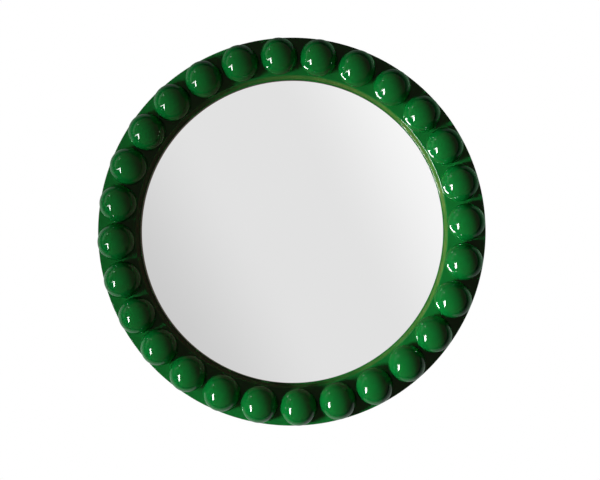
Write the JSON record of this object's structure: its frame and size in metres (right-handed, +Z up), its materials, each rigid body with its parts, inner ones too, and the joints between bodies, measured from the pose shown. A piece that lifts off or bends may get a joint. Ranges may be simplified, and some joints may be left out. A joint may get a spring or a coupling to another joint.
{
  "type": "round wall mirror",
  "caption": "Round bobbin wall mirror: flat glass in a green lacquered wooden ring that carries a full circle of turned wooden balls, with swinging D-rings on its back.",
  "frame": {"origin": "on the wall plane, behind the middle of the glass", "axes": "+Z up as the mirror hangs, +Y into the wall, so the glass faces -Y; +X to the right as seen from the room"},
  "size_m": [0.4999, 0.062, 0.4998],
  "materials": {
    "green_lacquer": "wood under high-gloss emerald green lacquer",
    "bare_wood": "raw beech dowel",
    "mirror_glass": "clear float glass, silvered on its back",
    "hardboard": "smooth brown hardboard",
    "brass_plate": "satin stamped sheet",
    "steel_screws": "zinc plated, satin",
    "steel_straps": "zinc plated sheet, satin",
    "steel_rings": "zinc plated wire, bright",
    "rubber_feet": "matte black rubber"
  },
  "bodies": {
    "mirror": {"base_ring": "green_lacquer", "ball_01": "green_lacquer", "ball_02": "green_lacquer", "ball_03": "green_lacquer", "ball_04": "green_lacquer", "ball_05": "green_lacquer", "ball_06": "green_lacquer", "ball_07": "green_lacquer", "ball_08": "green_lacquer", "ball_09": "green_lacquer", "ball_10": "green_lacquer", "ball_11": "green_lacquer", "ball_12": "green_lacquer", "ball_13": "green_lacquer", "ball_14": "green_lacquer", "ball_15": "green_lacquer", "ball_16": "green_lacquer", "ball_17": "green_lacquer", "ball_18": "green_lacquer", "ball_19": "green_lacquer", "ball_20": "green_lacquer", "ball_21": "green_lacquer", "ball_22": "green_lacquer", "ball_23": "green_lacquer", "ball_24": "green_lacquer", "ball_25": "green_lacquer", "ball_26": "green_lacquer", "ball_27": "green_lacquer", "ball_28": "green_lacquer", "ball_dowels": "bare_wood", "mirror_glass": "mirror_glass", "backing_board": "hardboard", "button_screws": "steel_screws", "strap_left": "steel_straps", "strap_right": "steel_straps", "strap_screws": "steel_screws", "bumper_left": "rubber_feet", "bumper_right": "rubber_feet"},
    "turn_button_1": {"button_1": "brass_plate"},
    "turn_button_2": {"button_2": "brass_plate"},
    "turn_button_3": {"button_3": "brass_plate"},
    "turn_button_4": {"button_4": "brass_plate"},
    "turn_button_5": {"button_5": "brass_plate"},
    "turn_button_6": {"button_6": "brass_plate"},
    "hanger_left": {"d_ring_left": "steel_rings"},
    "hanger_right": {"d_ring_right": "steel_rings"}
  },
  "joints": [
    {"name": "button_1_turn", "type": "hinge", "parent": "mirror", "child": "turn_button_1", "pos_m": [0.21146, -0.006, 0], "axis": [0, 1, 0], "continuous": true},
    {"name": "button_2_turn", "type": "hinge", "parent": "mirror", "child": "turn_button_2", "pos_m": [0.10573, -0.006, 0.18313], "axis": [0, 1, 0], "continuous": true},
    {"name": "button_3_turn", "type": "hinge", "parent": "mirror", "child": "turn_button_3", "pos_m": [-0.10573, -0.006, 0.18313], "axis": [0, 1, 0], "continuous": true},
    {"name": "button_4_turn", "type": "hinge", "parent": "mirror", "child": "turn_button_4", "pos_m": [-0.21146, -0.006, 0], "axis": [0, 1, 0], "continuous": true},
    {"name": "button_5_turn", "type": "hinge", "parent": "mirror", "child": "turn_button_5", "pos_m": [-0.10573, -0.006, -0.18313], "axis": [0, 1, 0], "continuous": true},
    {"name": "button_6_turn", "type": "hinge", "parent": "mirror", "child": "turn_button_6", "pos_m": [0.10573, -0.006, -0.18313], "axis": [0, 1, 0], "continuous": true},
    {"name": "d_ring_left_swing", "type": "hinge", "parent": "mirror", "child": "hanger_left", "pos_m": [-0.17494, -0.003, 0.16321], "axis": [1, 0, 0], "range_deg": [0, 187]},
    {"name": "d_ring_right_swing", "type": "hinge", "parent": "mirror", "child": "hanger_right", "pos_m": [0.17494, -0.003, 0.16321], "axis": [1, 0, 0], "range_deg": [0, 187]}
  ]
}
